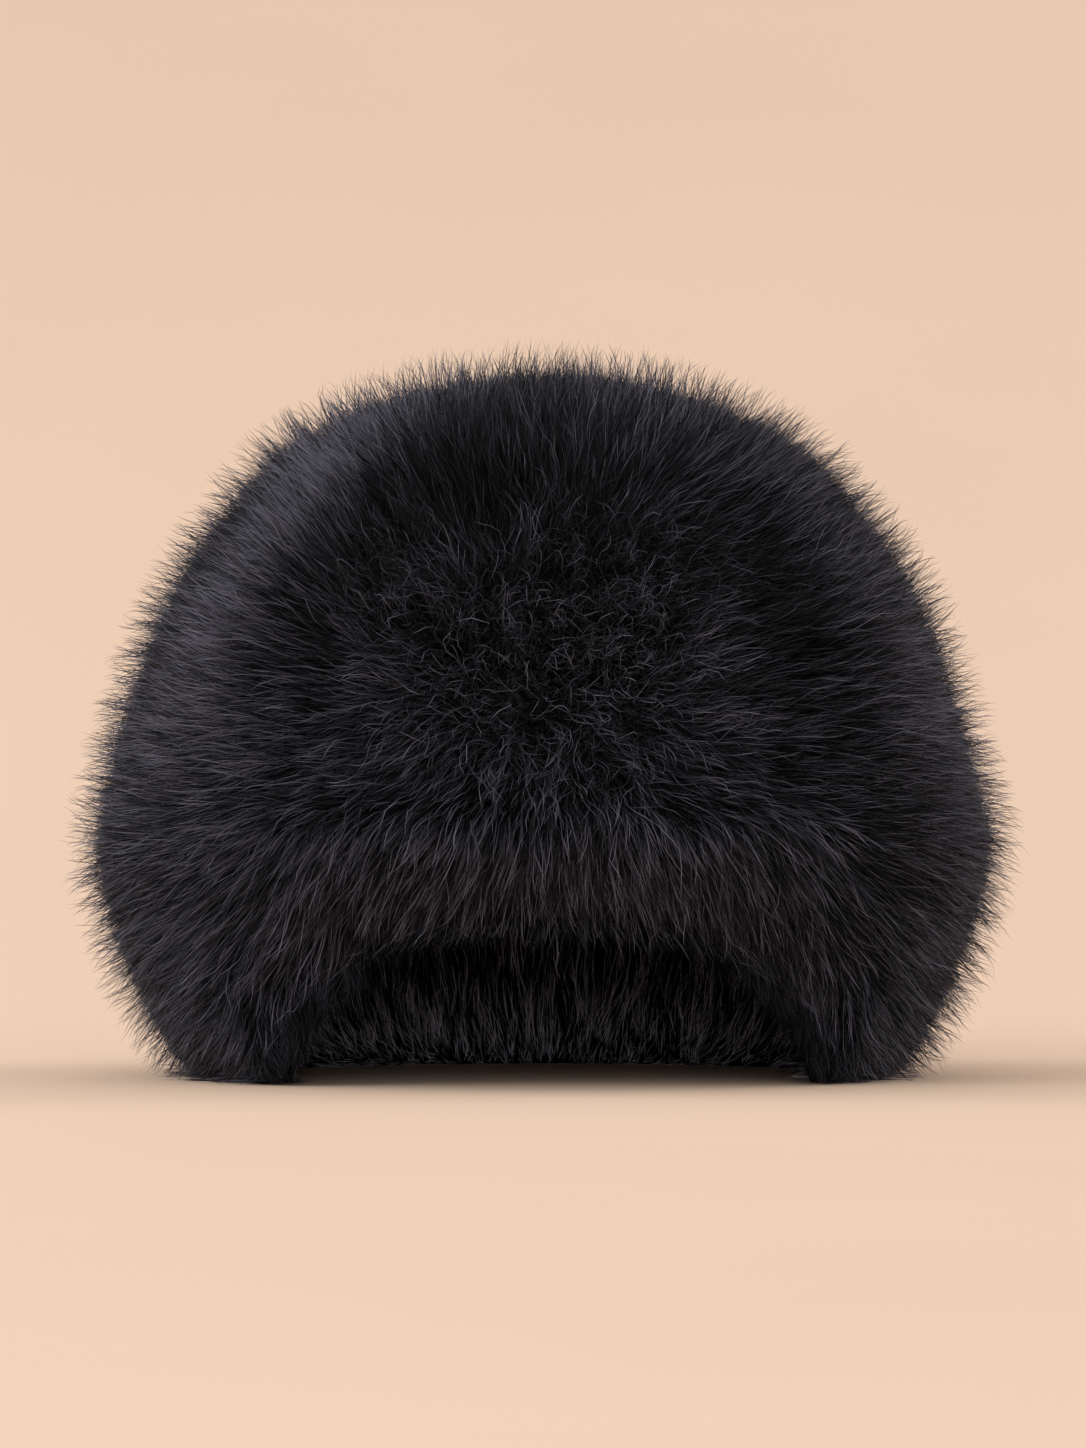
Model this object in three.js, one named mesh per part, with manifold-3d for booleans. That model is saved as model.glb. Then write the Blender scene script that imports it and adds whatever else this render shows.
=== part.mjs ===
// A deep-pile faux fur bucket hat that stands on its own rim, the front of the rim arched up.
// Millimetres, +Z up, +X to the right of someone who looks at the front, and the front towards -Y.
// The origin is on the floor, under the middle of the hat.
// Four panels of knit-backed fur make it: a round crown tip, a crown side, a brim and its inner facing.
// Each panel is one solid: a wall of dense pile on its backing, with the pile's long locks fused to it.
import * as THREE from "three";
import { mergeVertices } from "three/addons/utils/BufferGeometryUtils.js";
import Module from "manifold-3d";

// Driving sizes of the fur's outer form
const FUR_WIDTH = 300;
const FUR_DEPTH = 288;
const FUR_HEIGHT = 236;

// Driving sizes of the backing, which is the hat's pattern
const HOLLOW_HEIGHT = 205;
const HEADLINE_HEIGHT = 100;
const HEAD_WIDTH = 188;
const HEAD_DEPTH = 194;
const RIM_WIDTH = 238;
const RIM_DEPTH = 226;
const FACING_PILE = 18;

// The arch in the rim, measured to the wall's edge, with its middle ARCH_SHIFT towards +X
const ARCH_WIDTH = 184;
const ARCH_HEIGHT = 56;
const ARCH_SHIFT = 3;
const ARCH_ROUNDNESS = 2.8;
const ARCH_FALL = 0.55;
const ARCH_EASE = 1.2;
const WIDEST_FOOT = 0.95;

// Seams, the room that another panel leaves round a lock, and that room's shares at its tip, sides and ridge
const SEAM_GAP = 0.6;
const LOCK_CLEARANCE = 0.7;
const TIP_ROOM = 4;
const SIDE_ROOM = 1.5;
const RIDGE_ROOM = 1.5;

// Locks of the outer fur, which stand on a face of dense pile that lies NAP below their own height.
// HANG is the share of a lock's length past the rim that hangs below it, RIM_THICKNESS its thickness there.
const NAP = 6;
const LOCK_SPACING = 35;
const LOCK_LENGTH = 50;
const LOCK_WIDTH = 27;
const LOCK_THICKNESS = 10;
const TIP_RISE = 5;
const HANG = 0.3;
const RIM_THICKNESS = 0.5;

// Locks of the facing
const FACING_LOCK_SPACING = 32;
const FACING_LOCK_LENGTH = 30;
const FACING_LOCK_WIDTH = 20;
const FACING_LOCK_THICKNESS = 7;
const FACING_TIP_RISE = 4;

// The whorl that the fur grows away from, on the front of the crown. Within its spread the locks are
// shorter, stand up more and lie more at random, by a turn in radians.
const WHORL_HEIGHT = 128;
const WHORL_SPREAD = 70;
const WHORL_LENGTH = 0.5;
const WHORL_TWIST = 1.3;
const WHORL_RISE = 9;
const LOCK_TWIST = 0.25;

// Where the fur turns from the whorl's flow to hanging down, in shares of the depth behind the middle
const HANGS_FROM = -0.1;
const HANGS_WHOLLY = 0.5;

// How much the locks vary: as shares of their spacing round and down the hat, and of their own size
const SCATTER_ROUND = 0.3;
const SCATTER_DOWN = 0.25;
const SCATTER_SIZE = 0.3;

// Sections left bare of lock roots: at the apex, at the rim, and at the facing's two edges
const BARE_APEX = 0.3;
const BARE_RIM = 0.5;
const BARE_FACING_TOP = 0.4;
const BARE_FACING_END = 0.9;

const COLUMNS = 32;
const SUBSTEPS = 3;
const NEARBY = 0.02;
const BLACK_FUR = 0x17161a;
const DARK_FACING = 0x121114;
const FUR_ROUGHNESS = 0.8;
const TURN = 2 * Math.PI;

// Sections through the wall, from the apex down to the floor.
// Up is a height: 1 at the top, 0 at the headline and -1 at the floor.
// furOut: share of the fur's half width or depth. nap: share of NAP.
// backOut: share of the head's half width. flare: share of the way from the head's reach to the rim's.
// faceIn: share of the facing's pile.
const SECTIONS = [
  { furUp: 1.0, furOut: 0.0, nap: 1, backUp: 1.0, backOut: 0.0, flare: 0, faceIn: 0 },
  { furUp: 0.95, furOut: 0.3, nap: 1, backUp: 0.97, backOut: 0.36, flare: 0, faceIn: 0 },
  { furUp: 0.82, furOut: 0.57, nap: 1, backUp: 0.87, backOut: 0.67, flare: 0, faceIn: 0 },
  { furUp: 0.64, furOut: 0.72, nap: 1, backUp: 0.72, backOut: 0.85, flare: 0, faceIn: 0 },
  { furUp: 0.41, furOut: 0.85, nap: 1, backUp: 0.48, backOut: 0.95, flare: 0, faceIn: 0 },
  { furUp: 0.18, furOut: 0.925, nap: 1, backUp: 0.22, backOut: 0.99, flare: 0, faceIn: 0 },
  { furUp: 0.0, furOut: 0.97, nap: 1, backUp: 0.0, backOut: 1.0, flare: 0.0, faceIn: 0.14 },
  { furUp: -0.27, furOut: 1.0, nap: 1, backUp: -0.28, backOut: 1.0, flare: 0.37, faceIn: 0.6 },
  { furUp: -0.62, furOut: 0.935, nap: 0.9, backUp: -0.6, backOut: 1.0, flare: 0.78, faceIn: 0.75 },
  { furUp: -0.87, furOut: 0.855, nap: 0.5, backUp: -0.82, backOut: 1.0, flare: 0.9, faceIn: 0.65 },
  { furUp: -1.0, furOut: 0.785, nap: 0.1, backUp: -1.0, backOut: 1.0, flare: 0.65, faceIn: 0.3 },
];
const TIP_SEAM = 3;
const HEADLINE = 6;
const FLOOR = SECTIONS.length - 1;
const FACING_END = FLOOR - 0.3;

// Soft swells and dents of the crown's fur.
// azimuth and span in degrees, up and reach as in SECTIONS, rise as a share of the fur's half width.
const SWELLS = [
  { azimuth: -50, span: 13, up: 0.4, reach: 0.35, rise: 0.022 },
  { azimuth: -32, span: 11, up: 0.3, reach: 0.3, rise: -0.03 },
  { azimuth: 34, span: 11, up: 0.34, reach: 0.3, rise: -0.03 },
  { azimuth: 52, span: 13, up: 0.42, reach: 0.35, rise: 0.022 },
];

// Rings of a lock from root to tip: shares of its length, width and thickness, and of the rise from its
// root's depth to its tip's height.
const LOCK_RINGS = [
  { along: 0.0, wide: 0.7, thick: 0.5, rise: 0.0 },
  { along: 0.42, wide: 1.0, thick: 1.0, rise: 0.85 },
  { along: 1.0, wide: 0.0, thick: 0.0, rise: 1.0 },
];

// Layers of the wall, from the outside in
const FUR = "fur";
const BACKING = "backing";
const FACING_BACK = "facing back";
const FACING = "facing";

const wasm = await Module();
wasm.setup();

// A steady scatter between 0 and 1 for the whole number k.
const SCATTER_TURN = 12.9898;
const SCATTER_SPAN = 43758.5453;
const SEEDS_PER_LOCK = 6;
const SEEDS_PER_ROW = 64;
function scatter(k) {
  const wave = Math.sin((k + 1) * SCATTER_TURN) * SCATTER_SPAN;
  return wave - Math.floor(wave);
}

function heightOf(up, top) {
  return up >= 0 ? HEADLINE_HEIGHT + up * (top - HEADLINE_HEIGHT) : HEADLINE_HEIGHT * (1 + up);
}

// A layer as a curve whose points are half width, half depth and height.
function layerCurve(layer) {
  const points = SECTIONS.map((row) => {
    if (layer === FUR) {
      const wide = (row.furOut * FUR_WIDTH) / 2;
      const deep = (row.furOut * FUR_DEPTH) / 2;
      return new THREE.Vector3(wide, deep, heightOf(row.furUp, FUR_HEIGHT));
    }
    const pile = SEAM_GAP + row.faceIn * FACING_PILE;
    const inset = { [BACKING]: 0, [FACING_BACK]: SEAM_GAP, [FACING]: pile }[layer];
    return new THREE.Vector3(
      (row.backOut * HEAD_WIDTH + row.flare * (RIM_WIDTH - HEAD_WIDTH)) / 2 - inset,
      (row.backOut * HEAD_DEPTH + row.flare * (RIM_DEPTH - HEAD_DEPTH)) / 2 - inset,
      heightOf(row.backUp, HOLLOW_HEIGHT),
    );
  });
  return new THREE.CatmullRomCurve3(points, false, "centripetal");
}

const CURVES = Object.fromEntries(
  [FUR, BACKING, FACING_BACK, FACING].map((layer) => [layer, layerCurve(layer)]),
);

// The arch's feet and its shift, as sines of the azimuths at which they stand
const RIM_REACH = (SECTIONS[FLOOR].furOut * FUR_WIDTH) / 2;
const ARCH_FOOT = Math.min(ARCH_WIDTH / 2 / RIM_REACH, WIDEST_FOOT);

// How far the arch lifts the rim at this azimuth.
function archLift(azimuth) {
  const share = Math.abs(Math.sin(azimuth) - ARCH_SHIFT / RIM_REACH) / ARCH_FOOT;
  if (Math.cos(azimuth) <= 0 || share >= 1) return 0;
  return ARCH_HEIGHT * (1 - share ** ARCH_ROUNDNESS) ** ARCH_FALL;
}

// How far the swells push the fur out here, as a share of its half width.
function swellAt(azimuth, up) {
  return SWELLS.reduce((sum, swell) => {
    const turn = azimuth - THREE.MathUtils.degToRad(swell.azimuth);
    const across = Math.atan2(Math.sin(turn), Math.cos(turn)) / THREE.MathUtils.degToRad(swell.span);
    const along = (up - swell.up) / swell.reach;
    return sum + swell.rise * Math.exp(-across * across - along * along);
  }, 0);
}

// A point of a layer at a section number and an azimuth, which is 0 at the front and grows towards +X.
function pointOn(layer, section, azimuth) {
  const reach = CURVES[layer].getPoint(section / FLOOR);
  const up = (reach.z - HEADLINE_HEIGHT) / (FUR_HEIGHT - HEADLINE_HEIGHT);
  const swell = layer === FUR ? 1 + swellAt(azimuth, up) : 1;
  const low = Math.max(0, 1 - reach.z / HEADLINE_HEIGHT);
  return new THREE.Vector3(
    reach.x * swell * Math.sin(azimuth),
    -reach.y * swell * Math.cos(azimuth),
    reach.z + archLift(azimuth) * low ** ARCH_EASE,
  );
}

// A layer's tangents and its outward normal, or for the facing its inward one.
function surfaceAt(layer, section, azimuth) {
  const at = THREE.MathUtils.clamp(section, NEARBY, FLOOR - NEARBY);
  const down = pointOn(layer, at + NEARBY, azimuth).sub(pointOn(layer, at - NEARBY, azimuth));
  const round = pointOn(layer, at, azimuth + NEARBY).sub(pointOn(layer, at, azimuth - NEARBY));
  const normal = new THREE.Vector3().crossVectors(down, round).normalize();
  if (layer === FACING) normal.negate();
  return { down: down.divideScalar(2 * NEARBY), round: round.divideScalar(2 * NEARBY), normal };
}

function napAt(section) {
  const before = SECTIONS[Math.floor(section)];
  const after = SECTIONS[Math.ceil(section)];
  return THREE.MathUtils.lerp(before.nap, after.nap, section - Math.floor(section));
}

// A point of the wall's face: the layer itself, or for the fur the dense pile below the locks.
function faceAt(layer, section, azimuth) {
  const point = pointOn(layer, section, azimuth);
  if (layer !== FUR) return point;
  const height = point.z;
  point.addScaledVector(surfaceAt(layer, section, azimuth).normal, -NAP * napAt(section));
  if (section === FLOOR) point.z = height;
  return point;
}

function facesSolid(points, faces) {
  const geometry = new THREE.BufferGeometry().setFromPoints(points);
  geometry.setIndex(faces.flat());
  return solidOf(geometry);
}

// A closed geometry of bare positions as a solid that joins and cuts.
function solidOf(geometry) {
  const merged = mergeVertices(geometry, 1e-4);
  const vertProperties = merged.attributes.position.array;
  const triVerts = new Uint32Array(merged.index.array);
  return new wasm.Manifold(new wasm.Mesh({ numProp: 3, vertProperties, triVerts }));
}

function geometryOf(solid) {
  const mesh = solid.getMesh();
  const places = [];
  for (let i = 0; i < mesh.numVert; i++) {
    const start = i * mesh.numProp;
    places.push(...mesh.vertProperties.subarray(start, start + 3));
  }
  const geometry = new THREE.BufferGeometry();
  geometry.setAttribute("position", new THREE.Float32BufferAttribute(places, 3));
  geometry.setIndex(new THREE.BufferAttribute(mesh.triVerts, 1));
  geometry.computeVertexNormals();
  return geometry;
}

// Sections per millimetre down the crown's side, and half a seam's gap in sections
const SIDE_RUN = pointOn(FUR, HEADLINE, 0).distanceTo(pointOn(FUR, TIP_SEAM, 0));
const SECTIONS_PER_MM = (HEADLINE - TIP_SEAM) / SIDE_RUN;
const HALF_SEAM = (SEAM_GAP / 2) * SECTIONS_PER_MM;

// Rows whose two ends are moved apart by this room, but not past the apex or the floor.
function widened(rows, room) {
  const step = room * SECTIONS_PER_MM;
  const ends = { [0]: rows[0] === 0 ? 0 : -step, [rows.length - 1]: step };
  return rows.map((section, i) => Math.min(section + (ends[i] ?? 0), FLOOR));
}

// A closed ring between an outer and an inner layer, or a cap where it starts at the apex.
// Its rows are section numbers. Room is how far its faces are moved apart.
function wallSolid({ outer, outerRows, inner, innerRows }, room = 0) {
  const points = [];
  const faces = [];
  const rings = [];
  const addRing = (layer, section, way) => {
    const count = section === 0 ? 1 : COLUMNS;
    rings.push({ start: points.length, count });
    for (let j = 0; j < count; j++) {
      const azimuth = (j / COLUMNS) * TURN;
      const { normal } = surfaceAt(layer, section, azimuth);
      const apart = layer === FACING ? -way * room : way * room;
      points.push(faceAt(layer, section, azimuth).addScaledVector(normal, apart));
    }
  };
  widened(outerRows, room).forEach((section) => addRing(outer, section, 1));
  widened(innerRows, room).reverse().forEach((section) => addRing(inner, section, -1));
  const joins = outerRows[0] === 0 ? rings.length - 1 : rings.length;
  for (let i = 0; i < joins; i++) {
    const a = rings[i];
    const b = rings[(i + 1) % rings.length];
    for (let j = 0; j < COLUMNS; j++) {
      const next = (j + 1) % COLUMNS;
      const corner = (ring, column) => ring.start + (column % ring.count);
      if (a.count > 1) faces.push([corner(a, j), corner(b, j), corner(a, next)]);
      if (b.count > 1) faces.push([corner(a, next), corner(b, j), corner(b, next)]);
    }
  }
  return facesSolid(points, faces);
}

// The middle that the fur's flow turns round, and the way from there to the whorl
const FLOW_CENTRE = new THREE.Vector3(0, 0, HEADLINE_HEIGHT);
const WHORL = new THREE.Vector3(0, -FUR_DEPTH / 2, WHORL_HEIGHT);
const WHORL_WAY = WHORL.clone().sub(FLOW_CENTRE).normalize();
const DOWN = new THREE.Vector3(0, 0, -1);

// The way that the fur lies at a point: away from the whorl, and down round the back and on the facing.
function layAt(layer, point, normal) {
  const lay = DOWN.clone();
  if (layer === FUR) {
    const out = point.clone().sub(FLOW_CENTRE).normalize();
    const away = out.multiplyScalar(out.dot(WHORL_WAY)).sub(WHORL_WAY).normalize();
    const behind = THREE.MathUtils.smoothstep(point.y / FUR_DEPTH, HANGS_FROM, HANGS_WHOLLY);
    lay.multiplyScalar(behind).addScaledVector(away, 1 - behind);
  }
  return lay.addScaledVector(normal, -lay.dot(normal)).normalize();
}

// One short step along a lock's lay, over the layer's face and, past the rim, down.
function stepOn({ layer, twist }, place, step) {
  if (place.section >= FLOOR) {
    const lay = place.lay.clone().add(DOWN).normalize();
    const normal = place.normal.clone().setZ(0).normalize();
    return { ...place, lay, normal, point: place.point.clone().addScaledVector(lay, HANG * step) };
  }
  const { down, round } = surfaceAt(layer, place.section, place.azimuth);
  const dd = down.dot(down);
  const rr = Math.max(round.dot(round), 1);
  const dr = down.dot(round);
  const ld = place.lay.dot(down) * step;
  const lr = place.lay.dot(round) * step;
  const area = dd * rr - dr * dr;
  const section = place.section + (ld * rr - lr * dr) / area;
  const azimuth = place.azimuth + (lr * dd - ld * dr) / area;
  if (section < 0) return placeOn({ layer, twist, section: -section, azimuth: azimuth + TURN / 2 });
  return placeOn({ layer, twist, section: Math.min(section, FLOOR), azimuth });
}

function placeOn({ layer, twist, section, azimuth }) {
  const point = pointOn(layer, section, azimuth);
  const { normal } = surfaceAt(layer, section, azimuth);
  const lay = layAt(layer, point, normal).applyAxisAngle(normal, twist);
  return { section, azimuth, point, normal, lay };
}

// One lock as a closed solid: a pointed wedge with a ridge that bends with the fur, with this room round it.
function lockSolid(lock, room) {
  const points = [];
  let place = placeOn(lock);
  let walked = 0;
  for (const ring of LOCK_RINGS) {
    const step = ((ring.along - walked) * lock.length) / SUBSTEPS;
    for (let i = 0; i < SUBSTEPS && step > 0; i++) place = stepOn(lock, place, step);
    walked = ring.along;
    const side = new THREE.Vector3().crossVectors(place.normal, place.lay).normalize();
    const height = THREE.MathUtils.lerp(-lock.rootDepth, lock.tipRise, ring.rise);
    const middle = place.point.clone().addScaledVector(place.normal, height);
    if (ring.wide === 0) {
      points.push(middle.addScaledVector(place.lay, TIP_ROOM * room));
      continue;
    }
    if (ring.along === 0) middle.addScaledVector(place.lay, -room);
    const half = (lock.width * ring.wide) / 2 + SIDE_ROOM * room;
    const deep = (lock.thickness * ring.thick) / 2;
    points.push(middle.clone().addScaledVector(side, -half).addScaledVector(place.normal, -deep - room));
    points.push(middle.clone().addScaledVector(side, half).addScaledVector(place.normal, -deep - room));
    points.push(middle.clone().addScaledVector(place.normal, deep + RIDGE_ROOM * room));
  }
  const faces = [[0, 2, 1]];
  const tip = points.length - 1;
  for (let start = 0; start < tip; start += 3) {
    for (let j = 0; j < 3; j++) {
      const a = start + j;
      const b = start + ((j + 1) % 3);
      if (start + 3 === tip) faces.push([a, b, tip]);
      else faces.push([a, b, a + 3], [b, b + 3, a + 3]);
    }
  }
  return facesSolid(points, faces);
}

// A size made up to half of SCATTER_SIZE larger or smaller.
function varied(size, k) {
  return size * (1 + SCATTER_SIZE * (scatter(k) - 0.5));
}

// The locks of a layer between two sections, in staggered rows.
function locksOf(layer, from, to, size) {
  const locks = [];
  const run = pointOn(layer, from, TURN / 2).distanceTo(pointOn(layer, to, TURN / 2));
  const rows = Math.max(1, Math.round(run / size.spacing));
  for (let i = 0; i < rows; i++) {
    const row = THREE.MathUtils.lerp(from, to, (i + 0.5) / rows);
    const reach = CURVES[layer].getPoint(row / FLOOR);
    const count = Math.max(3, Math.round(((TURN / 2) * (reach.x + reach.y)) / size.spacing));
    for (let j = 0; j < count; j++) {
      const key = SEEDS_PER_LOCK * (j + SEEDS_PER_ROW * Math.round(row));
      const azimuth = ((j + (i % 2) / 2 + SCATTER_ROUND * (scatter(key) - 0.5)) / count) * TURN;
      const section = row + (SCATTER_DOWN * (to - from) * (scatter(key + 1) - 0.5)) / rows;
      const near = pointOn(layer, section, azimuth).distanceTo(WHORL);
      const open = THREE.MathUtils.smoothstep(near, 0, WHORL_SPREAD);
      locks.push({
        layer,
        section,
        azimuth,
        length: varied(size.length, key + 2) * THREE.MathUtils.lerp(WHORL_LENGTH, 1, open),
        width: varied(size.width, key + 3),
        thickness: size.thickness * THREE.MathUtils.lerp(RIM_THICKNESS, 1, napAt(section)),
        rootDepth: size.rootDepth * napAt(section),
        tipRise: size.tipRise * (scatter(key + 4) + 0.5) + WHORL_RISE * (1 - open),
        twist: THREE.MathUtils.lerp(WHORL_TWIST, LOCK_TWIST, open) * (2 * scatter(key + 5) - 1),
      });
    }
  }
  return locks;
}

const OUTER_LOCK = {
  spacing: LOCK_SPACING,
  length: LOCK_LENGTH,
  width: LOCK_WIDTH,
  thickness: LOCK_THICKNESS,
  rootDepth: NAP + LOCK_THICKNESS / 2,
  tipRise: TIP_RISE,
};
const FACING_LOCK = {
  spacing: FACING_LOCK_SPACING,
  length: FACING_LOCK_LENGTH,
  width: FACING_LOCK_WIDTH,
  thickness: FACING_LOCK_THICKNESS,
  rootDepth: FACING_LOCK_THICKNESS / 2,
  tipRise: FACING_TIP_RISE,
};

// Section numbers of the rows of points down each wall
const TIP_ROWS = [0, 1, 2, TIP_SEAM - HALF_SEAM];
const SIDE_ROWS = [TIP_SEAM + HALF_SEAM, 4, 5, HEADLINE - HALF_SEAM];
const BRIM_ROWS = [HEADLINE + HALF_SEAM, 7, 8, 9, FLOOR];
const FACING_ROWS = [HEADLINE + HALF_SEAM, 7.5, 9, FACING_END];

// Each panel's wall and locks. An earlier panel's locks lie over a later one's.
const PANELS = [
  {
    name: "crown_tip",
    wall: { outer: FUR, outerRows: TIP_ROWS, inner: BACKING, innerRows: TIP_ROWS },
    locks: locksOf(FUR, BARE_APEX, TIP_SEAM, OUTER_LOCK),
    colour: BLACK_FUR,
  },
  {
    name: "crown_side",
    wall: { outer: FUR, outerRows: SIDE_ROWS, inner: BACKING, innerRows: SIDE_ROWS },
    locks: locksOf(FUR, TIP_SEAM, HEADLINE, OUTER_LOCK),
    colour: BLACK_FUR,
  },
  {
    name: "brim",
    wall: { outer: FUR, outerRows: BRIM_ROWS, inner: BACKING, innerRows: [...FACING_ROWS, FLOOR] },
    locks: locksOf(FUR, HEADLINE, FLOOR - BARE_RIM, OUTER_LOCK),
    colour: BLACK_FUR,
  },
  {
    name: "brim_facing",
    wall: { outer: FACING_BACK, outerRows: FACING_ROWS, inner: FACING, innerRows: FACING_ROWS },
    locks: locksOf(FACING, HEADLINE + BARE_FACING_TOP, FACING_END - BARE_FACING_END, FACING_LOCK),
    colour: DARK_FACING,
  },
];

// Everything below the floor, which the fur of the standing hat is pressed flat against
function underFloor() {
  const slab = new THREE.BoxGeometry(2 * FUR_WIDTH, 2 * FUR_DEPTH, FUR_HEIGHT);
  slab.translate(0, 0, -FUR_HEIGHT / 2);
  slab.deleteAttribute("normal");
  slab.deleteAttribute("uv");
  return solidOf(slab);
}

// The panels as solids, each kept clear of the floor and of the panels before it
function panelSolids() {
  let taken = underFloor();
  return PANELS.map(({ wall, locks }) => {
    const parts = [wallSolid(wall), ...locks.map((lock) => lockSolid(lock, 0))];
    const [body] = wasm.Manifold.union(parts)
      .subtract(taken)
      .decompose()
      .sort((a, b) => b.volume() - a.volume());
    const roomy = [wallSolid(wall, LOCK_CLEARANCE), ...locks.map((lock) => lockSolid(lock, LOCK_CLEARANCE))];
    taken = wasm.Manifold.union([taken, body, ...roomy]);
    return body;
  });
}

const hat = new THREE.Group();
panelSolids().forEach((solid, i) => {
  const { name, colour } = PANELS[i];
  const material = new THREE.MeshStandardMaterial({ color: colour, roughness: FUR_ROUGHNESS, metalness: 0 });
  const panel = new THREE.Mesh(geometryOf(solid), material);
  panel.name = name;
  hat.add(panel);
});

// The hat's box, centred on the origin
const middle = new THREE.Box3().setFromObject(hat).getCenter(new THREE.Vector3());
hat.children.forEach((panel) => panel.geometry.translate(-middle.x, -middle.y, 0));

export default hat;
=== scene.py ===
"""A black long-pile faux fur bucket hat that stands on its rim, its front brim arched up.

Four sewn panels carry the fur: a crown tip, a crown side, a brim and the brim's inner facing. Each panel is a closed
shell of dense underfur on a knit backing, and its long hairs are a coat of fine tapered strands that grow from it.
Metres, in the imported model's own frame: +Z up, the front towards -Y.
"""

from __future__ import annotations

import logging
import math
import sys
from collections.abc import Iterator
from contextlib import contextmanager
from dataclasses import dataclass, field, replace
from enum import Enum
from functools import partial

import bpy
import numpy as np
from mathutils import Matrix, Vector
from mathutils.kdtree import KDTree


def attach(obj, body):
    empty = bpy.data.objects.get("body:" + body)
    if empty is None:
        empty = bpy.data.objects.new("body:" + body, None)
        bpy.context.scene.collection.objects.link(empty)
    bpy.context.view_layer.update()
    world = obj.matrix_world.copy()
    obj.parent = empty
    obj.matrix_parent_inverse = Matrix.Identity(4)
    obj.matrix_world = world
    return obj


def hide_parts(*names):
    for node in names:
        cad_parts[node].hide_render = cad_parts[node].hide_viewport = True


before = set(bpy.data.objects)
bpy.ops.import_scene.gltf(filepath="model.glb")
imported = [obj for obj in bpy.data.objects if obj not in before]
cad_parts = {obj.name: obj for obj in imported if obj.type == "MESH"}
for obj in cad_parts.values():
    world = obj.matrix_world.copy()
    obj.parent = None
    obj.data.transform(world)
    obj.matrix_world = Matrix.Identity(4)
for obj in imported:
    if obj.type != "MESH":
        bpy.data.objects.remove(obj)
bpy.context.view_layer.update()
LOG = logging.getLogger("fur_hat")
MM = 0.001
TINY = 1e-12  # keeps a division clear of zero
CREEP = 1e-9  # keeps a table's entries rising, and reads of it off its end
UP = np.array([0.0, 0.0, 1.0])

Array = np.ndarray
Socket = bpy.types.NodeSocket
Colour = tuple[float, float, float]
Place = tuple[float, float, float]
Range = tuple[float, float]


class Panel(Enum):
    """The hat's sewn panels, by the names of their solids."""

    TIP = "crown_tip"
    SIDE = "crown_side"
    BRIM = "brim"
    FACING = "brim_facing"


class Reach(Enum):
    """The stretches of a panel that one coat can cover."""

    ALL_ROUND = "all round"
    FRONT = "front half"
    BACK = "back half"
    WHORL = "whorl"
    ARCH_FEET = "arch feet"


class Layer(Enum):
    """The surfaces that a panel lies between."""

    FUR = "fur"
    BACKING = "backing"
    FACING = "facing"


@dataclass(frozen=True)
class Section:
    """One section through the hat's wall, as shares of its named sizes.

    fur_up and back_up are heights: 1 at the top, 0 at the headline and -1 at the floor. fur_out is a share of the
    fur's half width, back_out of the head's, flare of the way from the head's reach to the rim's, and face_in of the
    facing's pile.
    """

    fur_up: float
    fur_out: float
    back_up: float
    back_out: float
    flare: float
    face_in: float


SECTIONS: tuple[Section, ...] = (
    Section(1.0, 0.0, 1.0, 0.0, 0.0, 0.0),
    Section(0.95, 0.3, 0.97, 0.36, 0.0, 0.0),
    Section(0.82, 0.57, 0.87, 0.67, 0.0, 0.0),
    Section(0.64, 0.72, 0.72, 0.85, 0.0, 0.0),
    Section(0.41, 0.85, 0.48, 0.95, 0.0, 0.0),
    Section(0.18, 0.925, 0.22, 0.99, 0.0, 0.0),
    Section(0.0, 0.97, 0.0, 1.0, 0.0, 0.14),
    Section(-0.27, 1.0, -0.28, 1.0, 0.37, 0.6),
    Section(-0.62, 0.935, -0.6, 1.0, 0.78, 0.75),
    Section(-0.87, 0.855, -0.82, 1.0, 0.9, 0.65),
    Section(-1.0, 0.785, -1.0, 1.0, 0.65, 0.3),
)
# Where the seams and the floor lie among the sections.
TIP_SEAM = 3.0
HEADLINE = 6.0
FLOOR = 10.0


@dataclass(frozen=True)
class Swell:
    """A soft swell or dent of the crown's fur, or a band of painted highlight or painted shade on its hair, at an
    azimuth and height, with its spans.

    rise is how far it pushes the fur out, as a share of its half width, and light is how much lighter its hair is
    painted there than elsewhere: painted highlight where it is above 0, painted shade below.
    """

    azimuth: float
    span: float
    up: float
    reach: float
    rise: float
    light: float


# Rows with no rise leave the form alone: they are only bands of painted highlight or painted shade on the hair.
SWELLS: tuple[Swell, ...] = (
    Swell(-50.0, 13.0, 0.4, 0.35, 0.022, 0.45),
    Swell(-32.0, 11.0, 0.3, 0.3, -0.03, 0.0),
    Swell(34.0, 11.0, 0.34, 0.3, -0.03, 0.0),
    Swell(52.0, 13.0, 0.42, 0.35, 0.022, 0.18),
    Swell(-33.0, 11.0, 0.45, 0.22, 0.0, -0.25),
    Swell(36.0, 13.0, 0.42, 0.26, 0.0, -0.45),
    Swell(-43.0, 11.0, 0.76, 0.18, 0.0, 0.6),
    Swell(-61.0, 9.0, 0.2, 0.16, 0.0, 0.15),
    Swell(-68.0, 7.0, 0.5, 0.3, 0.0, -0.3),
    Swell(70.0, 7.0, 0.5, 0.3, 0.0, -0.2),
    Swell(46.0, 10.0, -0.1, 0.3, 0.0, -0.2),
    Swell(68.0, 8.0, 0.05, 0.3, 0.0, 0.3),
    Swell(-6.0, 24.0, 0.68, 0.22, 0.0, -0.5),
)


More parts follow.
